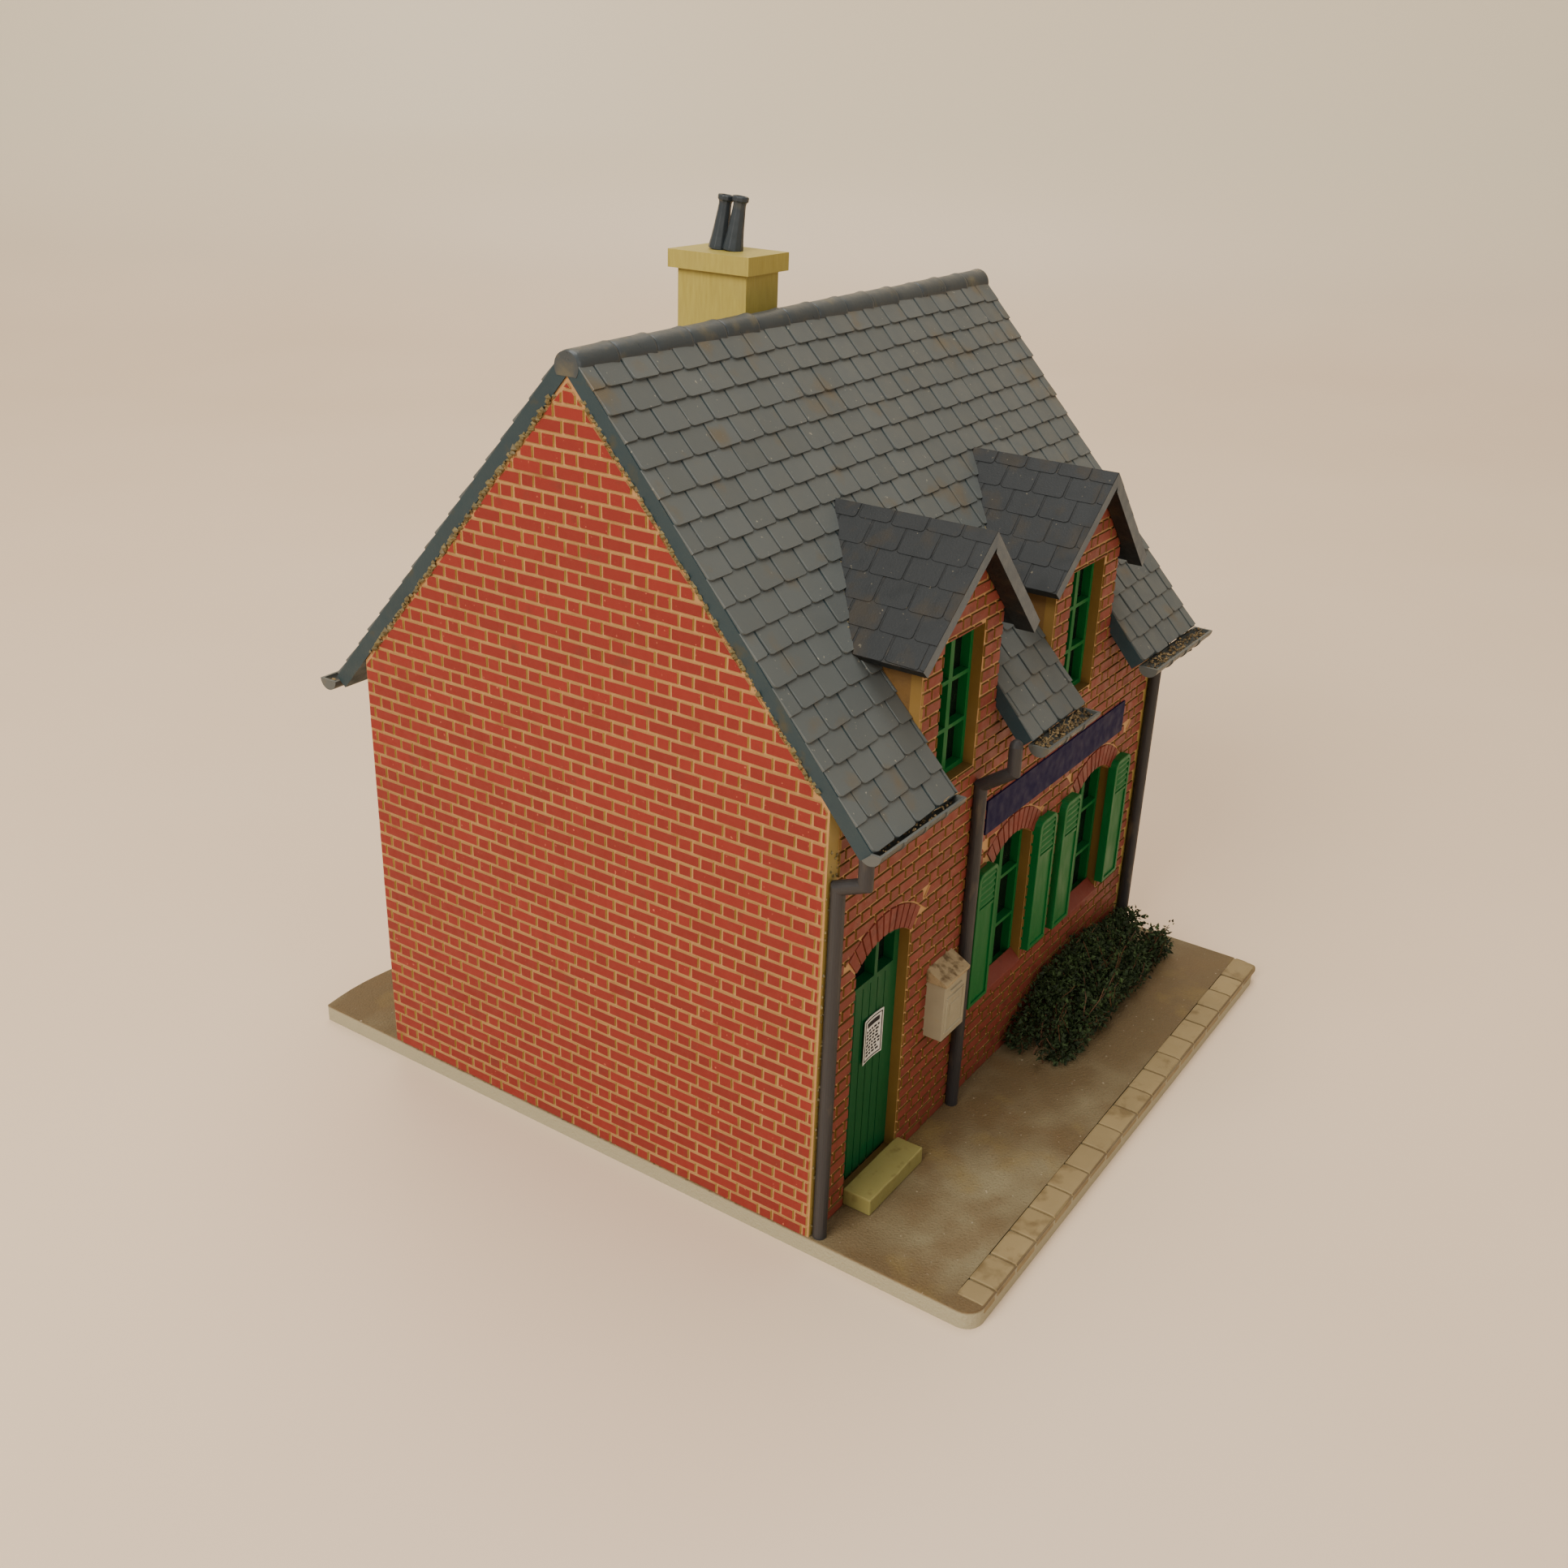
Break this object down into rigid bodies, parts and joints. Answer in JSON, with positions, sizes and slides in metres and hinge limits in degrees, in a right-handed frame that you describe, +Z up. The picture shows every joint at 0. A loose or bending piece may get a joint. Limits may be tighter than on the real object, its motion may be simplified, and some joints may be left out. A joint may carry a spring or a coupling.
{
  "type": "model railway building",
  "caption": "Small brick house for a model railway, with slate roofs, dormers, shutters, gutters, chimney and hedge on its own ground plate.",
  "frame": {"origin": "centre of the flat underside of the ground plate", "axes": "+Z up, +X along the ridge towards the end of the house away from the door, the street front faces -Y"},
  "size_m": [0.0824, 0.0922, 0.099],
  "materials": {
    "ground": "khaki-beige moulded plastic, matt, with brown dirt",
    "brick_gable": "cream plastic with raised bricks printed orange-red",
    "brick_front": "cream plastic with raised bricks printed dull red",
    "slate": "slate-grey moulded plastic, weathered",
    "ridge": "slate-grey moulded plastic, dusty",
    "dormer_slate": "dark grey moulded plastic, brown dirt and glue",
    "cheek": "bare yellow-ochre moulded plastic",
    "joinery": "bright green moulded plastic, slight sheen",
    "glazing": "clear plastic sheet, slightly cloudy",
    "paper": null,
    "step": "bare yellow-olive moulded plastic",
    "sign": "plain dark navy plate",
    "mailbox": "cream moulded plastic, dirty lid",
    "gutter": "grey moulded plastic with brown debris",
    "pipe": "dark grey moulded plastic, faint brown dust",
    "chimney": "bare yellow moulded plastic, fine vertical grain",
    "pots": "dark grey moulded plastic",
    "foliage": "dark green foam and lichen scatter with brown twigs"
  },
  "bodies": {
    "root": {"base_plate": "ground", "gable_wall_left": "brick_gable", "gable_wall_right": "brick_gable", "front_wall": "brick_front", "back_wall": "brick_front", "front_roof": "slate", "back_roof": "slate", "ridge_tiles": "ridge", "dormer_1_roof_left": "dormer_slate", "dormer_1_roof_right": "dormer_slate", "dormer_1_cheek_left": "cheek", "dormer_1_cheek_right": "cheek", "dormer_2_roof_left": "dormer_slate", "dormer_2_roof_right": "dormer_slate", "dormer_2_cheek_left": "cheek", "dormer_2_cheek_right": "cheek", "door": "joinery", "door_glazing": "glazing", "door_notice": "paper", "doorstep": "step", "window_frame_1": "joinery", "window_frame_2": "joinery", "window_glazing_1": "glazing", "window_glazing_2": "glazing", "dormer_frame_1": "joinery", "dormer_frame_2": "joinery", "dormer_glazing_1": "glazing", "dormer_glazing_2": "glazing", "back_window_frame_1": "joinery", "back_window_frame_2": "joinery", "back_glazing_1": "glazing", "back_glazing_2": "glazing", "shutter_1": "joinery", "shutter_2": "joinery", "shutter_3": "joinery", "shutter_4": "joinery", "sign_plate": "sign", "mailbox": "mailbox", "gutter_left": "gutter", "gutter_middle": "gutter", "gutter_right": "gutter", "gutter_back": "gutter", "downpipe_left": "pipe", "downpipe_middle": "pipe", "downpipe_right": "pipe", "chimney_half_left": "chimney", "chimney_half_right": "chimney", "chimney_pots": "pots", "hedge": "foliage"}
  },
  "joints": []
}
